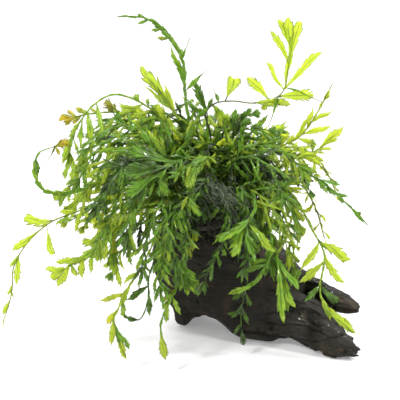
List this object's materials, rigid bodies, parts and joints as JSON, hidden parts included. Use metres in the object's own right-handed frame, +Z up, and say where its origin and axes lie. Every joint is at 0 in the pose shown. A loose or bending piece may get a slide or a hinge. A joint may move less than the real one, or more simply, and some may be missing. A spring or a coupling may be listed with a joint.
{
  "type": "african water fern on driftwood",
  "caption": "Water fern with arching, lobed fronds that grow from creeping rhizomes on a forked piece of dark driftwood, standing on the wood's own feet.",
  "frame": {"origin": "on the ground under the middle of the plant's footprint", "axes": "+X to the right as the plant is looked at from the front, +Y away from the viewer, +Z up"},
  "size_m": [0.2381, 0.1734, 0.2185],
  "materials": {
    "driftwood": "wet, near-black water-worn bogwood with fine grain and brown stains",
    "rhizome": "dark green-brown creeping stem with scales and fine root hair",
    "frond": "thin, glossy, slightly translucent green leaf with a dark midrib"
  },
  "bodies": {
    "root": {"driftwood_back_prong": "driftwood", "driftwood_front_prong": "driftwood", "driftwood_trunk": "driftwood", "frond_back": "frond", "frond_back_left": "frond", "frond_back_left_low": "frond", "frond_back_left_top": "frond", "frond_back_low": "frond", "frond_back_right": "frond", "frond_back_right_low": "frond", "frond_back_right_top": "frond", "frond_back_top": "frond", "frond_crown_front": "frond", "frond_crown_front_left": "frond", "frond_crown_front_right": "frond", "frond_crown_left": "frond", "frond_crown_right": "frond", "frond_front_bright": "frond", "frond_front_dark_hanging": "frond", "frond_front_forked": "frond", "frond_front_left_curled": "frond", "frond_front_left_hanging": "frond", "frond_front_middle": "frond", "frond_front_right_bright": "frond", "frond_left_arch": "frond", "frond_left_curl": "frond", "frond_left_facing": "frond", "frond_left_inner": "frond", "frond_left_low": "frond", "frond_left_orange": "frond", "frond_left_outer": "frond", "frond_over_the_foot": "frond", "frond_right_behind": "frond", "frond_right_high": "frond", "frond_right_inner": "frond", "frond_right_level": "frond", "frond_right_low": "frond", "frond_right_outer": "frond", "frond_right_slim": "frond", "frond_top_arch": "frond", "frond_top_blade": "frond", "frond_top_dark": "frond", "frond_top_left_short": "frond", "frond_top_right": "frond", "frond_top_right_small": "frond", "frond_top_slim": "frond", "frond_young_back_left": "frond", "frond_young_back_right": "frond", "frond_young_front": "frond", "frond_young_front_left": "frond", "frond_young_front_middle": "frond", "frond_young_front_right": "frond", "frond_young_left": "frond", "frond_young_right": "frond", "rhizome_back": "rhizome", "rhizome_front": "rhizome", "rhizome_middle": "rhizome"}
  },
  "joints": []
}
